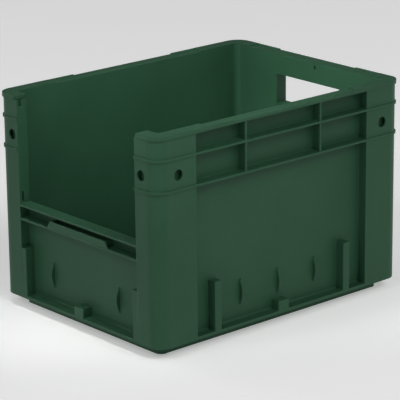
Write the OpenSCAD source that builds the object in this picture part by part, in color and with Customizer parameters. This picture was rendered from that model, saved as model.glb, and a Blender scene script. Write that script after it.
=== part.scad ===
// Stacking picking crate: an open-fronted box moulded in one piece, on a 400 x 300 module.
// +X is across the width, +Y runs from the picking front to the rear, +Z is up.
// The origin is the middle of the standing face. Each moulded region is its own closed solid,
// and neighbours meet face to face.

/* [Overall size] */
// Length from the picking front to the rear
crate_l = 400; // [360:10:500]
// Width across the two long sides
crate_w = 300; // [280:10:400]
// Height from the standing face to the top of the stacking rim
crate_h = 270; // [240:5:320]
// Outer radius of the four upright corners
corner_r = 20; // [10:1:24]

/* [Walls] */
// Thickness of the floor and of the four wall panels
wall_t = 3.2; // [2.4:0.2:4]
// Thickness of the hollow corner posts' skin
skin_t = 2.6; // [2:0.2:3]
// How far the long wall panels lie behind the rim's outer edge
wall_inset = 14.4; // [12:0.2:16]
// How far the end wall panels lie behind the rim's outer edge
wall_end_inset = 15.4; // [12:0.2:16]
// How far the post faces lie behind the rim's outer edge
face_inset = 1.6; // [1:0.2:2.4]

/* [Front opening] */
// Height of the sill above the standing face
sill_z = 135; // [120:1:160]
// Width of the picking opening between the two front posts
opening_w = 220; // [180:2:224]

/* [Rim] */
// Thickness of the rim plate
rim_t = 3.6; // [3:0.2:4.4]
// Height of the corner pads and locating lips above the rim plate
lip_h = 1.2; // [0.8:0.2:2]
// Thickness of the locating lips
lip_t = 3.4; // [2:0.2:5]
// Length of each corner pad along a long side
pad_l = 80; // [60:1:90]
// Width of each rear corner pad
pad_w = 41; // [36:1:50]
// Length of each locating lip
lip_l = 40; // [20:1:50]
// How far a front pad stops short of its post's inner edge
pad_setback = 4; // [2:0.5:8]

/* [Recesses under the rim] */
// Place of the front recess along each long side
recess_front_y = -120; // [-130:1:-70]
// Place of the rear recess along each long side
recess_rear_y = 84; // [68:1:130]
// Place of the recess across the inside of the rear wall
recess_rear_x = 16; // [-50:1:50]
// Width of each recess
recess_w = 8; // [4:0.5:12]
// Height of each recess
recess_h = 4.6; // [3:0.2:6]
// Depth of each recess into its wall
recess_deep = 2.2; // [1:0.2:2.2]
// Wall left between a recess and the rim above it
recess_drop = 0.7; // [0.4:0.1:2]

/* [Rib bands and cells] */
// Height of the upper rib band above the standing face
upper_band_z = 241; // [225:1:245]
// Height of the lower rib band above the standing face
lower_band_z = 203; // [180:1:215]
// Thickness of the rib bands
band_t = 3; // [2:0.2:4]
// Thickness of the upright cell ribs
cell_rib_t = 3; // [2:0.2:4]
// Distance from the middle of a long side to each upright cell rib
cell_rib_y = 60.5; // [50:0.5:80]
// Length of a corner post along a long side
post_l = 61.6; // [50:0.2:70]

/* [Post details] */
// Diameter of the round holes in the corner posts
post_hole_d = 13; // [8:0.5:16]
// Height of the round holes above the standing face
post_hole_z = 221; // [210:1:232]
// Distance from a post's side face to the hole in its end face
hole_from_side = 27.5; // [22:0.5:32]
// Distance from a post's end face to the hole in its side face
hole_from_end = 33; // [26:0.5:48]
// Width of the flap slit in the flank of each front post
slit_w = 2.4; // [1.6:0.2:4]
// Height of the flap slit
slit_h = 12; // [6:1:20]
// Distance from the middle of the flap slit to the post's end face
slit_inset = 5; // [4:0.5:8]
// Height of the flap slit's foot above the sill
slit_rise = 3; // [1:0.5:10]
// Width of the flap latch window at the head of the flank
latch_w = 5.6; // [3:0.2:7]
// Height of the flap latch window
latch_h = 8; // [4:0.5:12]
// Distance from the flap latch window to the post's end face
latch_inset = 1.6; // [1:0.2:3]

/* [Hand grip] */
// Width of the hand grip in the rear wall
grip_w = 115; // [90:1:124]
// Height of the lower edge of the hand grip
grip_z0 = 203; // [200:1:212]
// Height of the upper edge of the hand grip
grip_z1 = 242; // [236:1:248]
// Thickness of the collar round the hand grip
collar_t = 3; // [2:0.2:4]

/* [Label pocket] */
// Height of the top of the label rib above the standing face
label_rib_z = 117.5; // [100:0.5:122]
// Height of the top of the label plate above the standing face
label_plate_z = 126; // [110:0.5:130]
// Width of the label plate at its foot
label_w = 114; // [80:1:140]
// Thickness of the label plate
label_t = 2.4; // [1.6:0.2:3]
// How far each end of the label plate slopes in towards its top
label_slope = 4.5; // [1:0.5:8]

/* [Lower wall details] */
// Height of the top of the stiffeners above the standing face
stiffener_z = 79; // [60:1:100]
// Distance from the middle of a long side to each stiffener
stiffener_y = 105.8; // [90:0.2:115]
// Width of a stiffener on a long side
stiffener_w = 10.6; // [6:0.2:14]
// Width of a stiffener beside a front or rear post
end_stiffener_w = 8.5; // [5:0.5:12]
// Height of the middle of the guide fins above the standing face
fin_z = 52; // [48:1:60]
// Length of a guide fin
fin_l = 32; // [20:1:40]
// How far a guide fin stands out from the wall panel
fin_h = 6; // [3:0.5:9]
// Thickness of a guide fin
fin_t = 2; // [1.4:0.2:3]
// Distance from the middle of the front to each of its guide fins
end_fin_x = 62; // [40:1:80]
// Width of the stacking catch in the middle of each side
catch_w = 17; // [12:1:24]
// Height of the top of the stacking catch
catch_z = 30; // [26:1:40]

/* [Base] */
// How far the long sides of the foot lie behind the rim's outer edge
foot_inset = 21; // [18:0.5:24]
// How far the ends of the foot lie behind the rim's outer edge
foot_end_inset = 20; // [18:0.5:24]
// Height of the underside of the base ledge
ledge_z = 13.8; // [10:0.2:18]
// Thickness of the base ledge
ledge_t = 3.8; // [3:0.2:5]
// Radius of the corners of the foot
foot_r = 9; // [6:1:14]
// Height of the underside ribs
under_rib_h = 3.4; // [2:0.2:5]
// Thickness of the underside ribs
under_rib_t = 2; // [1.4:0.2:3]
// Spacing of the underside ribs
under_rib_step = 36; // [24:1:60]
// Diameter of the drain holes in the base ledge
drain_d = 4; // [3:0.5:5]
// Distance from a drain hole to the outer edge of the base ledge
drain_inset = 6; // [4:0.5:8]
// Distance from a drain hole to the stiffener beside it
drain_gap = 5; // [4:0.5:12]

/* [Hidden] */
$fn = 64;
crate_green = [0.13, 0.33, 0.25];

half_w = crate_w / 2;
half_l = crate_l / 2;
face_x = half_w - face_inset;
face_y = half_l - face_inset;
face_r = corner_r - face_inset;
panel_x = half_w - wall_inset;          // outer face of the long wall panels
panel_y = half_l - wall_end_inset;      // outer face of the end wall panels
inner_x = panel_x - wall_t;
inner_y = panel_y - wall_t;
foot_x = half_w - foot_inset;
foot_y = half_l - foot_end_inset;
foot_t = wall_t;
wall_z = ledge_z + ledge_t;             // where the wall panels start
rim_z = crate_h - lip_h;                // top of the rim plate
rim_under = rim_z - rim_t;              // underside of the rim plate
post_y = face_y - post_l + face_inset;  // inner edge of the posts on the long sides
post_x = opening_w / 2;                 // inner edge of the posts on the short sides
pad_end_x = post_x + pad_setback;
sill_under = sill_z - wall_t;
grip_x = grip_w / 2;
recess_z = rim_under - recess_drop - recess_h;
slit_y = face_y - slit_inset;
slit_z = sill_z + slit_rise;
latch_y = face_y - latch_inset;
touch = 0.01;                           // cutters run this far past the face that they cut

module rounded_rect(half_x, half_y, r) {
    square([2 * half_x, 2 * (half_y - r)], center = true);
    square([2 * (half_x - r), 2 * half_y], center = true);
    for (sx = [-1, 1], sy = [-1, 1])
        translate([sx * (half_x - r), sy * (half_y - r)]) circle(r);
}

module block(low, high) {
    translate(low) cube(high - low);
}

// One quarter of a plan shape, kept where x > from_x and y > from_y.
module corner_of(from_x, from_y) {
    intersection() {
        children();
        translate([from_x, from_y]) square([crate_w, crate_l]);
    }
}

// --- base -------------------------------------------------------------------------------

module floor_plate() {
    color(crate_green)
    translate([0, 0, under_rib_h])
        linear_extrude(wall_t) rounded_rect(foot_x - foot_t, foot_y - foot_t, foot_r - foot_t);
}

module underside_ribs() {
    end_x = foot_x - foot_t;
    end_y = foot_y - foot_t;
    count_x = floor((end_x - foot_r) / under_rib_step);
    count_y = floor((end_y - foot_r) / under_rib_step);
    half_t = under_rib_t / 2;
    color(crate_green) {
        for (i = [-count_x : count_x], x = i * under_rib_step)
            block([x - half_t, -end_y, 0], [x + half_t, end_y, under_rib_h]);
        for (j = [-count_y : count_y], y = j * under_rib_step)
            block([-end_x, y - half_t, 0], [end_x, y + half_t, under_rib_h]);
    }
}

// The foot is a frame of four rails round the floor. The end rails carry its rounded corners.
module foot_frame() {
    linear_extrude(ledge_z)
    difference() {
        rounded_rect(foot_x, foot_y, foot_r);
        rounded_rect(foot_x - foot_t, foot_y - foot_t, foot_r - foot_t);
    }
}

module foot_end(side) {
    color(crate_green)
    intersection() {
        foot_frame();
        translate([-crate_w, side > 0 ? foot_y - foot_r : -crate_l - foot_y + foot_r, -touch])
            cube([2 * crate_w, crate_l, crate_h]);
    }
}

module foot_side(side) {
    x0 = side > 0 ? foot_x - foot_t : -foot_x;
    color(crate_green) block([x0, -foot_y + foot_r, 0], [x0 + foot_t, foot_y - foot_r, ledge_z]);
}

// The base ledge steps the walls out from the foot. It is flush with the corner posts.
module ledge_end(side) {
    y_in = foot_y - foot_t;
    color(crate_green)
    translate([0, 0, ledge_z])
    linear_extrude(ledge_t)
    difference() {
        intersection() {
            rounded_rect(face_x, face_y, face_r);
            translate([-half_w, side > 0 ? y_in : -half_l]) square([crate_w, half_l - y_in]);
        }
        for (sx = [-1, 1])
            translate([sx * (post_x - end_stiffener_w - drain_gap), side * (face_y - drain_inset)])
                circle(d = drain_d);
    }
}

module ledge_side(side) {
    x0 = side > 0 ? foot_x - foot_t : -face_x;
    y_in = foot_y - foot_t;
    drain_y = stiffener_y - stiffener_w / 2 - drain_gap;
    color(crate_green)
    difference() {
        block([x0, -y_in, ledge_z], [x0 + face_x - foot_x + foot_t, y_in, wall_z]);
        for (sy = [-1, 1])
            translate([side * (face_x - drain_inset), sy * drain_y, ledge_z - touch])
                cylinder(d = drain_d, h = ledge_t + 2 * touch);
    }
}

// --- wall panels ------------------------------------------------------------------------

module wall_side(side) {
    x0 = side > 0 ? inner_x : -panel_x;
    recess_x = side > 0 ? panel_x - recess_deep : -panel_x - touch;
    color(crate_green)
    difference() {
        block([x0, -panel_y, wall_z], [x0 + wall_t, panel_y, rim_under]);
        for (y = [recess_front_y, recess_rear_y])
            block([recess_x, y - recess_w / 2, recess_z],
                  [recess_x + recess_deep + touch, y + recess_w / 2, recess_z + recess_h]);
    }
}

module wall_front() {
    color(crate_green) block([-inner_x, -panel_y, wall_z], [inner_x, -inner_y, sill_under]);
}

module wall_rear() {
    color(crate_green)
    difference() {
        block([-inner_x, inner_y, wall_z], [inner_x, panel_y, rim_under]);
        block([-grip_x, inner_y - touch, grip_z0], [grip_x, panel_y + touch, grip_z1]);
        block([recess_rear_x - recess_w / 2, inner_y - touch, recess_z],
              [recess_rear_x + recess_w / 2, inner_y + recess_deep, recess_z + recess_h]);
    }
}

// --- picking front ----------------------------------------------------------------------

module sill() {
    color(crate_green) {
        block([-post_x, -face_y, sill_under], [post_x, -inner_y, sill_z]);
        for (sx = [-1, 1])
            block([sx > 0 ? post_x : -inner_x, -panel_y, sill_under],
                  [sx > 0 ? inner_x : -post_x, -inner_y, sill_z]);
    }
}

module label_rib() {
    color(crate_green)
        block([-post_x, -face_y, label_rib_z - band_t], [post_x, -panel_y, label_rib_z]);
}

// The label plate stands on the label rib. Its two end cheeks close the pocket behind it.
module label_plate() {
    half = label_w / 2;
    top_half = half - label_slope;
    color(crate_green) {
        translate([0, -face_y + label_t, 0]) rotate([90, 0, 0])
            linear_extrude(label_t)
                polygon([[-half, label_rib_z], [half, label_rib_z],
                         [top_half, label_plate_z], [-top_half, label_plate_z]]);
        for (sx = [-1, 1])
            block([sx * top_half - (sx > 0 ? label_t : 0), -face_y + label_t, label_rib_z],
                  [sx * top_half + (sx > 0 ? 0 : label_t), -panel_y, label_plate_z]);
    }
}

// --- corner posts -----------------------------------------------------------------------

// Plan of one hollow post, drawn for the corner where x > 0 and y > 0.
module post_plan() {
    difference() {
        corner_of(post_x, post_y) rounded_rect(face_x, face_y, face_r);
        square([panel_x, panel_y]);
        intersection() {
            corner_of(post_x + skin_t, post_y + skin_t)
                rounded_rect(face_x - skin_t, face_y - skin_t, face_r - skin_t);
            square([half_w, half_l]);
        }
    }
}

module post(sx, sy) {
    mirror([sx < 0 ? 1 : 0, 0, 0]) mirror([0, sy < 0 ? 1 : 0, 0])
    difference() {
        translate([0, 0, wall_z]) linear_extrude(rim_under - wall_z) post_plan();
        translate([face_x - hole_from_side, face_y + touch, post_hole_z]) rotate([90, 0, 0])
            cylinder(d = post_hole_d, h = skin_t + 2 * touch);
        translate([face_x + touch, face_y - hole_from_end, post_hole_z]) rotate([0, -90, 0])
            cylinder(d = post_hole_d, h = skin_t + 2 * touch);
        if (sy < 0) {
            block([post_x - touch, slit_y - slit_w / 2, slit_z],
                  [post_x + skin_t + touch, slit_y + slit_w / 2, slit_z + slit_h]);
            block([post_x - touch, latch_y - latch_w, rim_under - latch_h],
                  [post_x + skin_t + touch, latch_y, rim_under + touch]);
        }
    }
}

// Inner return of a front post above the sill, which closes the post towards the opening.
module post_return(side) {
    x0 = side > 0 ? post_x : -inner_x;
    color(crate_green)
        block([x0, -panel_y, sill_z], [x0 + inner_x - post_x, -inner_y, rim_under]);
}

// --- rim --------------------------------------------------------------------------------

module rim_plan() {
    difference() {
        rounded_rect(half_w, half_l, corner_r);
        square([2 * inner_x, 2 * inner_y], center = true);
    }
}

module rim_side(side) {
    pad_y = half_l - pad_l;
    x_in = side > 0 ? inner_x : -half_w;
    lip_x = side > 0 ? half_w - lip_t : -half_w;
    color(crate_green) {
        block([x_in, -pad_y, rim_under], [x_in + half_w - inner_x, pad_y, rim_z]);
        for (y0 = [-pad_y, pad_y - lip_l])
            block([lip_x, y0, rim_z], [lip_x + lip_t, y0 + lip_l, crate_h]);
    }
}

module rim_rear() {
    pad_x = half_w - pad_w;
    color(crate_green) {
        block([-pad_x, inner_y, rim_under], [pad_x, half_l, rim_z]);
        for (x0 = [-pad_x, pad_x - lip_l])
            block([x0, half_l - lip_t, rim_z], [x0 + lip_l, half_l, crate_h]);
    }
}

module rim_pad(sx, sy) {
    from_x = sy < 0 ? pad_end_x : half_w - pad_w;
    mirror([sx < 0 ? 1 : 0, 0, 0]) mirror([0, sy < 0 ? 1 : 0, 0])
    translate([0, 0, rim_under]) linear_extrude(crate_h - rim_under)
        corner_of(from_x, half_l - pad_l) rim_plan();
}

// --- rib bands, cell ribs and the hand grip ---------------------------------------------

// Raised strips where the two bands wrap round the posts.
module post_band(z, sx, sy) {
    mirror([sx < 0 ? 1 : 0, 0, 0]) mirror([0, sy < 0 ? 1 : 0, 0])
    translate([0, 0, z - band_t / 2]) linear_extrude(band_t)
    corner_of(post_x, post_y) difference() {
        rounded_rect(half_w, half_l, corner_r);
        rounded_rect(face_x, face_y, face_r);
    }
}

module post_bands() {
    color(crate_green)
    for (z = [upper_band_z, lower_band_z], sx = [-1, 1], sy = [-1, 1]) post_band(z, sx, sy);
}

module cell_bands_side(side) {
    x0 = side > 0 ? panel_x : -half_w;
    color(crate_green)
    for (z = [upper_band_z, lower_band_z])
        block([x0, -post_y, z - band_t / 2], [x0 + half_w - panel_x, post_y, z + band_t / 2]);
}

module cell_bands_rear() {
    x_in = grip_x + collar_t;
    color(crate_green)
    for (z = [upper_band_z, lower_band_z], sx = [-1, 1])
        block([sx > 0 ? x_in : -post_x, panel_y, z - band_t / 2],
              [sx > 0 ? post_x : -x_in, half_l, z + band_t / 2]);
}

// Upright ribs between the lower band and the rim, cut where the upper band crosses them.
module cell_ribs(side) {
    x0 = side > 0 ? panel_x : -face_x;
    spans = [[lower_band_z + band_t / 2, upper_band_z - band_t / 2],
             [upper_band_z + band_t / 2, rim_under]];
    color(crate_green)
    for (sy = [-1, 1], s = spans)
        block([x0, sy * cell_rib_y - cell_rib_t / 2, s[0]],
              [x0 + face_x - panel_x, sy * cell_rib_y + cell_rib_t / 2, s[1]]);
}

module grip_collar() {
    color(crate_green)
    difference() {
        block([-grip_x - collar_t, panel_y, grip_z0 - collar_t],
              [grip_x + collar_t, face_y, grip_z1 + collar_t]);
        block([-grip_x, panel_y - touch, grip_z0], [grip_x, face_y + touch, grip_z1]);
    }
}

// --- lower wall details -----------------------------------------------------------------

module stiffeners_side(side) {
    x0 = side > 0 ? panel_x : -face_x;
    color(crate_green)
    for (sy = [-1, 1])
        block([x0, sy * stiffener_y - stiffener_w / 2, wall_z],
              [x0 + face_x - panel_x, sy * stiffener_y + stiffener_w / 2, stiffener_z]);
}

module stiffeners_end(side) {
    y0 = side > 0 ? panel_y : -face_y;
    color(crate_green)
    for (sx = [-1, 1])
        block([sx > 0 ? post_x - end_stiffener_w : -post_x, y0, wall_z],
              [sx > 0 ? post_x : -post_x + end_stiffener_w, y0 + face_y - panel_y, stiffener_z]);
}

// A guide fin is a thin slice of a disc. It stands up from the plane y = 0 towards +Y.
module fin() {
    fin_r = (fin_l * fin_l / 4 + fin_h * fin_h) / (2 * fin_h);
    intersection() {
        translate([-fin_t / 2, fin_h - fin_r, 0]) rotate([0, 90, 0]) cylinder(r = fin_r, h = fin_t);
        block([-fin_t, 0, -fin_l], [fin_t, fin_h + 1, fin_l]);
    }
}

module fins_side(side) {
    color(crate_green)
    for (y = [-cell_rib_y, 0, cell_rib_y])
        translate([side * panel_x, y, fin_z]) rotate([0, 0, side > 0 ? -90 : 90]) fin();
}

module fins_end(side) {
    color(crate_green)
    for (x = [-end_fin_x, end_fin_x])
        translate([x, side * panel_y, fin_z]) rotate([0, 0, side > 0 ? 0 : 180]) fin();
}

module catch_side(side) {
    x0 = side > 0 ? panel_x : -face_x;
    color(crate_green)
        block([x0, -catch_w / 2, wall_z], [x0 + face_x - panel_x, catch_w / 2, catch_z]);
}

module catch_end(side) {
    y0 = side > 0 ? panel_y : -face_y;
    color(crate_green)
        block([-catch_w / 2, y0, wall_z], [catch_w / 2, y0 + face_y - panel_y, catch_z]);
}

floor_plate();
underside_ribs();
foot_end(-1);  // foot_front
foot_end(1);  // foot_rear
foot_side(-1);  // foot_left
foot_side(1);  // foot_right
ledge_end(-1);  // ledge_front
ledge_end(1);  // ledge_rear
ledge_side(-1);  // ledge_left
ledge_side(1);  // ledge_right
wall_side(-1);  // wall_left
wall_side(1);  // wall_right
wall_rear();
wall_front();
sill();
label_rib();
label_plate();
color(crate_green) post(-1, -1);  // post_front_left
color(crate_green) post(1, -1);  // post_front_right
color(crate_green) post(-1, 1);  // post_rear_left
color(crate_green) post(1, 1);  // post_rear_right
post_return(-1);  // post_return_left
post_return(1);  // post_return_right
rim_side(-1);  // rim_left
rim_side(1);  // rim_right
rim_rear();
color(crate_green) rim_pad(-1, -1);  // rim_pad_front_left
color(crate_green) rim_pad(1, -1);  // rim_pad_front_right
color(crate_green) rim_pad(-1, 1);  // rim_pad_rear_left
color(crate_green) rim_pad(1, 1);  // rim_pad_rear_right
post_bands();
cell_bands_side(-1);  // cell_bands_left
cell_bands_side(1);  // cell_bands_right
cell_bands_rear();
cell_ribs(-1);  // cell_ribs_left
cell_ribs(1);  // cell_ribs_right
grip_collar();
stiffeners_side(-1);  // stiffeners_left
stiffeners_side(1);  // stiffeners_right
stiffeners_end(-1);  // stiffeners_front
stiffeners_end(1);  // stiffeners_rear
fins_side(-1);  // fins_left
fins_side(1);  // fins_right
fins_end(-1);  // fins_front
fins_end(1);  // fins_rear
catch_side(-1);  // catch_left
catch_side(1);  // catch_right
catch_end(-1);  // catch_front
catch_end(1);  // catch_rear
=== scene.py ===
"""Open-fronted stacking crate: one dark green polypropylene moulding, rounded and grained."""

import math

import bmesh
import bpy
from mathutils import Matrix, Vector
from mathutils.bvhtree import BVHTree


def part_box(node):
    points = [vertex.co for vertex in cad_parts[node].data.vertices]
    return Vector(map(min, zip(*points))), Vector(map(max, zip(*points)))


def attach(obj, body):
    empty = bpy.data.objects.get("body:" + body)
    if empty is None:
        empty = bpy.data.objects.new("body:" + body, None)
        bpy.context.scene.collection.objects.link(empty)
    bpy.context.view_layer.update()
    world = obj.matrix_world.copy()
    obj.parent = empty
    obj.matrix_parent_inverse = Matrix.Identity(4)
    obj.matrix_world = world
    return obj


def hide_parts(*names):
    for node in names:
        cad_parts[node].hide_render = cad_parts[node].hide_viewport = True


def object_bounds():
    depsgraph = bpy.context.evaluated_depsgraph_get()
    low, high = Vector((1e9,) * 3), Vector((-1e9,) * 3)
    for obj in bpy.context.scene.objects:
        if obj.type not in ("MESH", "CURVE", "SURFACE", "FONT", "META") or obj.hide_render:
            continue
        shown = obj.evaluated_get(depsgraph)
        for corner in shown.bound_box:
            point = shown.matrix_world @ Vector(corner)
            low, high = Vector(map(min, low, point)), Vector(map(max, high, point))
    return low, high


MM = 0.001

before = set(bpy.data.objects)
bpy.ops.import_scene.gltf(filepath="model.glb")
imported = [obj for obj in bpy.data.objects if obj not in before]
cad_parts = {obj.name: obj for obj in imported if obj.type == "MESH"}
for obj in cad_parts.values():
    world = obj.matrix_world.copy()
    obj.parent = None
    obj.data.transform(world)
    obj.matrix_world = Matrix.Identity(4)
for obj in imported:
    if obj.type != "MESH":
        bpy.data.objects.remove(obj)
cad_low, cad_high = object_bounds()
NODE_NAMES = sorted(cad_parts)


# --- camera ------------------------------------------------------------------------------

CAMERA_AZIMUTH = math.radians(48.73)
CAMERA_ELEVATION = math.radians(17.26)
CAMERA_ROLL = math.radians(-0.61)
CAMERA_DISTANCE = 2.879
CAMERA_LENS = 209.1
SENSOR_WIDTH = 36
AIM_RIGHT = -2.0 * MM
AIM_UP = -12.0 * MM


def place_camera():
    """A long lens, a little above the rim, looking at the corner beside the picking front."""
    middle = (cad_low + cad_high) / 2
    across = Vector((math.cos(CAMERA_AZIMUTH), math.sin(CAMERA_AZIMUTH), 0))
    back = Vector((
        math.sin(CAMERA_AZIMUTH) * math.cos(CAMERA_ELEVATION),
        -math.cos(CAMERA_AZIMUTH) * math.cos(CAMERA_ELEVATION),
        math.sin(CAMERA_ELEVATION),
    ))
    turn = Matrix.Rotation(CAMERA_ROLL, 3, back)
    right = turn @ across
    up = turn @ back.cross(across)
    data = bpy.data.cameras.new("crate_camera")
    data.lens = CAMERA_LENS
    data.sensor_width = SENSOR_WIDTH
    camera = bpy.data.objects.new("crate_camera", data)
    place = middle + AIM_RIGHT * right + AIM_UP * up + CAMERA_DISTANCE * back
    axes = Matrix((right, up, back)).transposed().to_4x4()
    camera.matrix_world = Matrix.Translation(place) @ axes
    bpy.context.scene.collection.objects.link(camera)
    bpy.context.scene.camera = camera


# --- materials ---------------------------------------------------------------------------


class Wire:
    """A shader socket that takes part in sums: maths on it adds Math nodes."""

    def __init__(self, tree, socket):
        self.tree = tree
        self.socket = socket

    def _math(self, operation, *values):
        return self.tree.node("ShaderNodeMath", {"operation": operation}, dict(enumerate(values)))

    def __add__(self, other):
        return self._math("ADD", self, other)

    def __mul__(self, other):
        return self._math("MULTIPLY", self, other)

    __radd__ = __add__
    __rmul__ = __mul__


class Shader:
    """A new material and its node tree."""

    def __init__(self, name):
        self.material = bpy.data.materials.new(name)
        self.material.use_nodes = True
        self.nodes = self.material.node_tree.nodes
        self.links = self.material.node_tree.links
        self.nodes.clear()

    def node(self, kind, settings=None, inputs=None, output=0):
        """Adds a node, sets it up, then fills its sockets with values or links."""
        made = self.nodes.new(kind)
        for key, value in (settings or {}).items():
            setattr(made, key, value)
        for key, value in (inputs or {}).items():
            if isinstance(value, Wire):
                self.links.new(value.socket, made.inputs[key])
            else:
                made.inputs[key].default_value = value
        return Wire(self, made.outputs[output])

    def finish(self, surface):
        """Links the surface to the material's output, and gives the material."""
        target = self.nodes.new("ShaderNodeOutputMaterial")
        self.links.new(surface.socket, target.inputs["Surface"])
        return self.material


WHITE = (1, 1, 1, 1)
FLOOR_GREY = (0.84, 0.84, 0.84, 1)
FLOOR_PALE = (0.88, 0.88, 0.88, 1)
FLOOR_GLOW = 0.3
GREEN = (0.020, 0.069, 0.036, 1)
GREEN_PALE = (0.025, 0.081, 0.043, 1)
GREEN_SHINE = 0.15
GRAIN_DEPTH = 0.25 * MM


def moulded_green():
    """Satin polypropylene off a spark-eroded tool: fine grain, faint flow clouds, dulled patches."""
    s = Shader("moulded_pp")
    place = s.node("ShaderNodeTexCoord", output="Object")

    def clouds(scale, detail):
        return s.node("ShaderNodeTexNoise", None,
                      {"Vector": place, "Scale": scale, "Detail": detail, "Roughness": 0.55})

    flow = clouds(14, 4)
    mottle = clouds(160, 3)
    grain = clouds(1500, 2)
    tone = flow * 0.7 + mottle * 0.3
    spread = s.node("ShaderNodeMapRange", None,
                    {"Value": tone, "From Min": 0.3, "From Max": 0.7, "To Min": 0.0, "To Max": 1.0})
    colour = s.node("ShaderNodeMix", {"data_type": "RGBA"},
                    {"Factor": spread, "A": GREEN, "B": GREEN_PALE}, "Result")
    roughness = 0.40 + 0.12 * flow + 0.08 * mottle
    bump = s.node("ShaderNodeBump", None, {"Strength": 0.22, "Distance": GRAIN_DEPTH, "Height": grain})
    surface = s.node("ShaderNodeBsdfPrincipled", None, {
        "Base Color": colour, "Roughness": roughness, "Normal": bump, "IOR": 1.49,
        "Specular IOR Level": GREEN_SHINE,
    })
    return s.finish(surface)


def studio_floor():
    """Plain pale paper, which glows a little."""
    s = Shader("studio_floor")
    place = s.node("ShaderNodeTexCoord", output="Object")
    drift = s.node("ShaderNodeTexNoise", None, {"Vector": place, "Scale": 3.0, "Detail": 2.0})
    colour = s.node("ShaderNodeMix", {"data_type": "RGBA"},
                    {"Factor": drift, "A": FLOOR_GREY, "B": FLOOR_PALE}, "Result")
    surface = s.node("ShaderNodeBsdfPrincipled", None, {
        "Base Color": colour, "Roughness": 0.9, "Emission Color": WHITE, "Emission Strength": FLOOR_GLOW,
    })
    return s.finish(surface)


PLASTIC = moulded_green()


# --- moulded pieces ----------------------------------------------------------------------

# Lengths: what counts as one point, as touching and as worth a cut, how wide a cut is, how far
# from an edge the test points stand, and how deep a strip is sunk into the faces beside it.
MERGE = 0.002 * MM
TOUCH = 0.1 * MM
MIN_CUT = 0.3 * MM
CUT_WIDTH = 0.0001 * MM
PROBE = 0.15 * MM
BURY = 0.05 * MM

# Angles: from where an edge is sharp, up to where faces are one, and, as cosines, up to where
# two faces are square to each other and from where an edge is upright.
SHARP = math.radians(35)
FLAT = math.radians(0.5)
SQUARE = 0.2
UPRIGHT = 0.99

# Radii: on free edges, and where regions meet, which is at most a share of the face's width.
EDGE_SEGMENTS = 3
COVE_STEPS = 6
EDGE_R = 0.8 * MM
STEP_EDGE_R = 0.3 * MM
RETURN_R = 2.8 * MM
ROOT_R = 1.2 * MM
STEP_ROOT_R = 0.2 * MM
BASE_ROOT_R = 3.0 * MM
ROOT_SHARE = 0.45
BASE_KINDS = {"wall", "ledge", "foot", "floor"}

# The strips that round the four inner corners, each with the signs of its x and y.
INNER_R = 8.0 * MM
INNER_X = -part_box("wall_left")[1][0]
INNER_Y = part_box("wall_rear")[0][1]
LEDGE_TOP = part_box("ledge_left")[1][2]
RIM_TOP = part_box("rim_left")[1][2]
FILLERS = {
    "inner_corner_front_left": (-1, -1),
    "inner_corner_front_right": (1, -1),
    "inner_corner_rear_left": (-1, 1),
    "inner_corner_rear_right": (1, 1),
}

# The plates inside the posts.
FACE_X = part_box("post_front_right")[1][0]
FACE_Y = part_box("post_rear_right")[1][1]
HOLE_Z = 221 * MM
HOLE_FROM_SIDE = 27.5 * MM
HOLE_FROM_END = 33 * MM
WEB_DEPTH = 7 * MM
WEB_T = 1.2 * MM
WEB_W = 17 * MM
OPENING_X = 110 * MM
SLIT_Z = 144 * MM
LATCH_Z = 256 * MM
FLANK_WEB_DEPTH = 4.2 * MM
FLANK_WEB_FROM_END = 7 * MM
FLANK_WEB_W = 8.4 * MM


def box_of(verts):
    """The low and high corner of some vertices."""
    places = [vert.co for vert in verts]
    return ([min(place[i] for place in places) for i in range(3)],
            [max(place[i] for place in places) for i in range(3)])


def boxes_touch(box, other):
    """True where two boxes touch or overlap."""
    (low, high), (other_low, other_high) = box, other
    return all(low[i] - TOUCH <= other_high[i] and high[i] + TOUCH >= other_low[i] for i in range(3))


def touching(node):
    """The other nodes whose boxes touch this node's box."""
    return [other for other in BOXES if other != node and boxes_touch(BOXES[node], BOXES[other])]


def merged_copy(node):
    """The node's solid with its loose triangles joined into whole flat faces."""
    bm = bmesh.new()
    bm.from_mesh(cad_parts[node].data)
    bmesh.ops.remove_doubles(bm, verts=bm.verts, dist=MERGE)
    bmesh.ops.dissolve_limit(bm, angle_limit=FLAT, verts=bm.verts, edges=bm.edges)
    return bm


def solid_parts(bm):
    """The boxes of the separate solids in a mesh."""
    left = set(bm.verts)
    parts = []
    while left:
        stack = [left.pop()]
        part = [stack[0]]
        while stack:
            for edge in stack.pop().link_edges:
                for vert in edge.verts:
                    if vert in left:
                        left.remove(vert)
                        stack.append(vert)
                        part.append(vert)
        parts.append(box_of(part))
    return parts


def add_cove(bm, start, end, away, beside, radius, bury=BURY):
    """Adds a strip with a hollow quarter-round face between two faces that meet at an edge.

    The strip reaches a little way into both faces, unless nothing of it is to be buried.
    """
    rings = []
    for place in (start, end):
        section = [place - bury * (away + beside), place + radius * away - bury * beside]
        centre = place + radius * (away + beside)
        for step in range(COVE_STEPS + 1):
            turn = math.pi / 2 * step / COVE_STEPS
            section.append(centre - radius * (math.cos(turn) * beside + math.sin(turn) * away))
        section.append(place + radius * beside - bury * away)
        if bury == 0:
            section = section[:1] + section[2:-1]
        rings.append([bm.verts.new(point) for point in section])
    first, last = rings
    bm.faces.new(first)
    bm.faces.new(last)
    for i in range(len(first)):
        j = (i + 1) % len(first)
        bm.faces.new((first[i], first[j], last[j], last[i]))


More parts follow.
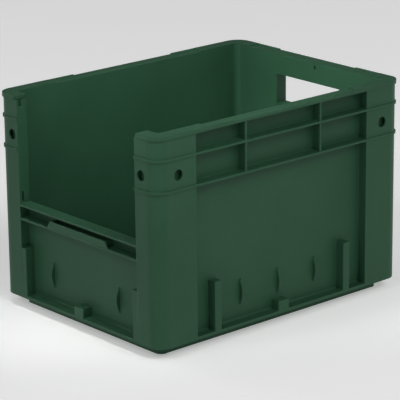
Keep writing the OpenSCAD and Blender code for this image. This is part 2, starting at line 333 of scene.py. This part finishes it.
def inner_corner(side_x, side_y):
    """A closed upright strip that rounds one inner corner of the crate, as a mesh."""
    low = Vector((side_x * INNER_X, side_y * INNER_Y, LEDGE_TOP))
    high = Vector((side_x * INNER_X, side_y * INNER_Y, RIM_TOP))
    bm = bmesh.new()
    add_cove(bm, low, high, Vector((-side_x, 0, 0)), Vector((0, -side_y, 0)), INNER_R, bury=0)
    bmesh.ops.recalc_face_normals(bm, faces=bm.faces)
    return bm


# The corner strips count as regions too, so that the edges that they cover stay sharp.
SOLIDS = {name: merged_copy(name) for name in NODE_NAMES}
BOXES = {name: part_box(name) for name in NODE_NAMES}
for filler_name, corner_signs in FILLERS.items():
    SOLIDS[filler_name] = inner_corner(*corner_signs)
    BOXES[filler_name] = box_of(SOLIDS[filler_name].verts)
TREES = {name: BVHTree.FromBMesh(SOLIDS[name]) for name in SOLIDS}
PARTS = {name: solid_parts(SOLIDS[name]) for name in SOLIDS}


def inside(point, node):
    """True where the point lies in the node's solid, by the side of its nearest face."""
    low, high = BOXES[node]
    if any(point[i] < low[i] or point[i] > high[i] for i in range(3)):
        return False
    hit, normal, _index, _distance = TREES[node].find_nearest(point)
    return (point - hit).dot(normal) < 0


def cut_where_neighbours_end(bm, node, neighbours):
    """Cuts the mesh in line with the ends of each neighbour that touches it."""
    low, high = BOXES[node]
    cuts = set()
    for other in neighbours:
        for part in PARTS[other]:
            if not boxes_touch(BOXES[node], part):
                continue
            for axis in range(3):
                for end in part:
                    if low[axis] + MIN_CUT < end[axis] < high[axis] - MIN_CUT:
                        cuts.add((axis, round(end[axis], 6)))
    for axis, value in sorted(cuts):
        at = Vector((0, 0, 0))
        at[axis] = value
        across = Vector((0, 0, 0))
        across[axis] = 1
        bmesh.ops.bisect_plane(bm, geom=list(bm.verts) + list(bm.edges) + list(bm.faces),
                               dist=CUT_WIDTH, plane_co=at, plane_no=across)


def faces_beside(edge):
    """For the two faces at an edge: the face, its normal and the way into it from the edge."""
    along = (edge.verts[1].co - edge.verts[0].co).normalized()
    found = []
    for loop in edge.link_loops:
        direction = along if loop.vert == edge.verts[0] else -along
        found.append((loop.face, loop.face.normal.copy(), loop.face.normal.cross(direction)))
    return found


def middle_of(edge):
    return (edge.verts[0].co + edge.verts[1].co) / 2


def covering(point, neighbours):
    """The neighbour that holds the point, or None."""
    return next((other for other in neighbours if inside(point, other)), None)


def is_free(edge, neighbours):
    """True where neither face beside the edge is covered by a neighbour."""
    return all(covering(middle_of(edge) + 2 * PROBE * into + PROBE * normal, neighbours) is None
               for _face, normal, into in faces_beside(edge))


def is_sharp(edge):
    """True where two faces meet at a clear angle."""
    return len(edge.link_faces) == 2 and edge.calc_face_angle(0) > SHARP


def kind_of(name):
    """The first word of a node's name, such as wall or foot."""
    return name.split("_")[0]


def is_step(name):
    """True for the pads and lips on the rim, which stand only a little above it."""
    return name.startswith("rim_pad")


def root_radius(node, other, face, middle, into):
    """The radius where a face of one region meets another region, smaller on a low step."""
    if is_step(node) or is_step(other):
        return STEP_ROOT_R
    wanted = BASE_ROOT_R if {kind_of(node), kind_of(other)} <= BASE_KINDS else ROOT_R
    reach = max((vert.co - middle).dot(into) for vert in face.verts)
    return min(wanted, ROOT_SHARE * reach)


def roots(bm, node, neighbours):
    """The inner edges where a free face of the mesh meets a neighbour's face square on."""
    found = []
    for edge in bm.edges:
        if not is_sharp(edge):
            continue
        middle = middle_of(edge)
        sides = faces_beside(edge)
        for (face, normal, into), (_other_face, hidden_normal, hidden_into) in (sides, sides[::-1]):
            if abs(normal.dot(hidden_normal)) > SQUARE:
                continue
            hidden = middle + 2 * PROBE * hidden_into + PROBE * hidden_normal
            air = middle + 2 * PROBE * (into + normal)
            beyond = middle + 2 * PROBE * normal + PROBE * hidden_normal
            if covering(hidden, neighbours) is None or covering(air, neighbours) is not None:
                continue
            other = covering(beyond, neighbours)
            if other is not None:
                radius = root_radius(node, other, face, middle, into)
                found.append((edge.verts[0].co.copy(), edge.verts[1].co.copy(), into, normal, radius))
    return found


def is_upright(edge):
    """True where the edge stands plumb."""
    return abs(edge.verts[0].co.z - edge.verts[1].co.z) > UPRIGHT * edge.calc_length()


def soften(node):
    """The node's solid, its free edges rounded and its inner edges filled with a small radius.

    The upright edges of the front posts' returns are rounded more than the others.
    """
    bm = SOLIDS[node].copy()
    neighbours = touching(node)
    cut_where_neighbours_end(bm, node, neighbours)
    inner_edges = roots(bm, node, neighbours)
    edges = [edge for edge in bm.edges if is_sharp(edge) and is_free(edge, neighbours)]
    upright = [edge for edge in edges if "return" in node and is_upright(edge)]
    others = [edge for edge in edges if edge not in upright]
    edge_r = STEP_EDGE_R if is_step(node) else EDGE_R
    for group, radius in ((upright, RETURN_R), (others, edge_r)):
        group = [edge for edge in group if edge.is_valid]
        bmesh.ops.bevel(bm, geom=group, offset=radius, offset_type="OFFSET", segments=EDGE_SEGMENTS,
                        profile=0.5, affect="EDGES", material=-1, clamp_overlap=True)
    for start, end, into, normal, radius in inner_edges:
        add_cove(bm, start, end, into, normal, radius)
    return bm


def plate(bm, middle, size):
    """Adds a closed box."""
    half = Vector(size) / 2
    made = bmesh.ops.create_cube(bm, size=2)
    for vert in made["verts"]:
        vert.co = Vector(middle) + Vector([vert.co[i] * half[i] for i in range(3)])


def post_webs():
    """The plates inside the hollow posts, close behind the round holes and the latch windows."""
    bm = bmesh.new()
    for side_x in (-1, 1):
        for side_y in (-1, 1):
            plate(bm, (side_x * (FACE_X - WEB_DEPTH), side_y * (FACE_Y - HOLE_FROM_END), HOLE_Z),
                  (WEB_T, WEB_W, WEB_W))
            plate(bm, (side_x * (FACE_X - HOLE_FROM_SIDE), side_y * (FACE_Y - WEB_DEPTH), HOLE_Z),
                  (WEB_W, WEB_T, WEB_W))
        for window_z in (SLIT_Z, LATCH_Z):
            plate(bm, (side_x * (OPENING_X + FLANK_WEB_DEPTH), -(FACE_Y - FLANK_WEB_FROM_END), window_z),
                  (WEB_T, FLANK_WEB_W, WEB_W))
    return bm


def add_piece(name, bm, *stands_for):
    """Makes the mesh an object of the crate's plastic, riding on the one body.

    The base ledges keep flat faces, because smooth ones show a dark mark at the round corners.
    """
    bmesh.ops.recalc_face_normals(bm, faces=bm.faces)
    mesh = bpy.data.meshes.new(name)
    bm.to_mesh(mesh)
    bm.free()
    flat = "ledge" in name
    if not flat:
        mesh.set_sharp_from_angle(angle=SHARP)
    mesh.materials.append(PLASTIC)
    piece = bpy.data.objects.new(name, mesh)
    bpy.context.scene.collection.objects.link(piece)
    if not flat:
        weighted = piece.modifiers.new("even_faces", "WEIGHTED_NORMAL")
        weighted.keep_sharp = True
    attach(piece, "root")
    if stands_for:
        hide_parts(*stands_for)


# --- stage -------------------------------------------------------------------------------

FLOOR_HALF = 8
WORLD_LIGHT = 0.15

# The softboxes face the crate's middle: name, place and power. Lengths are in metres.
SOFTBOX_SIZE = 2
SOFTBOXES = (
    ("front_softbox", (1.7, -5.0, 1.5), 18),
    ("front_high_softbox", (0, -3.6, 3.6), 48),
    ("side_high_softbox", (3.8, 0.3, 3.6), 80),
    ("side_rear_softbox", (4.6, 3.0, 1.4), 12),
    ("rear_softbox", (0.9, 5.2, 1.0), 45),
    ("left_softbox", (-5.2, -1.2, 1.0), 45),
)

# The cards stand close and light one region: name, place, size, power, aim and spread in degrees.
CARDS = (
    ("rear_wall_card", (0.03, -0.30, 0.50), 0.2, 0.36, (0.03, 0.18, 0.17), 60),
    ("left_wall_card", (0.35, -0.25, 0.62), 0.2, 0.115, (-0.132, -0.05, 0.15), 60),
    ("sill_card", (-0.02, -0.30, 0.95), 0.15, 0.05, (-0.02, -0.19, 0.135), 24),
)


def area_light(name, place, size, power, aim, spread):
    """Adds a square light that the camera doesn't see. The spread is in degrees."""
    data = bpy.data.lights.new(name, "AREA")
    data.shape = "RECTANGLE"
    data.size = size
    data.size_y = size
    data.energy = power
    data.spread = math.radians(spread)
    lamp = bpy.data.objects.new(name, data)
    way = Vector(aim) - Vector(place)
    lamp.matrix_world = Matrix.Translation(place) @ way.to_track_quat("-Z", "Y").to_matrix().to_4x4()
    lamp.visible_camera = False
    bpy.context.scene.collection.objects.link(lamp)


def build_stage():
    """The floor, an even faint glow all round, and the lights."""
    bm = bmesh.new()
    bmesh.ops.create_grid(bm, x_segments=1, y_segments=1, size=FLOOR_HALF)
    mesh = bpy.data.meshes.new("studio_floor")
    bm.to_mesh(mesh)
    bm.free()
    mesh.materials.append(studio_floor())
    floor = bpy.data.objects.new("studio_floor", mesh)
    bpy.context.scene.collection.objects.link(floor)
    world = bpy.data.worlds.new("studio")
    world.use_nodes = True
    background = world.node_tree.nodes["Background"]
    background.inputs["Color"].default_value = WHITE
    background.inputs["Strength"].default_value = WORLD_LIGHT
    bpy.context.scene.world = world
    bpy.context.scene.view_settings.view_transform = "Standard"
    crate_middle = (0, 0, cad_high.z / 2)
    for name, place, power in SOFTBOXES:
        area_light(name, place, SOFTBOX_SIZE, power, crate_middle, 180)
    for name, place, size, power, aim, spread in CARDS:
        area_light(name, place, size, power, aim, spread)


place_camera()
build_stage()
for node_name in NODE_NAMES:
    add_piece("moulded_" + node_name, soften(node_name), node_name)
for filler_name in FILLERS:
    add_piece(filler_name, soften(filler_name))
add_piece("post_webs", post_webs())
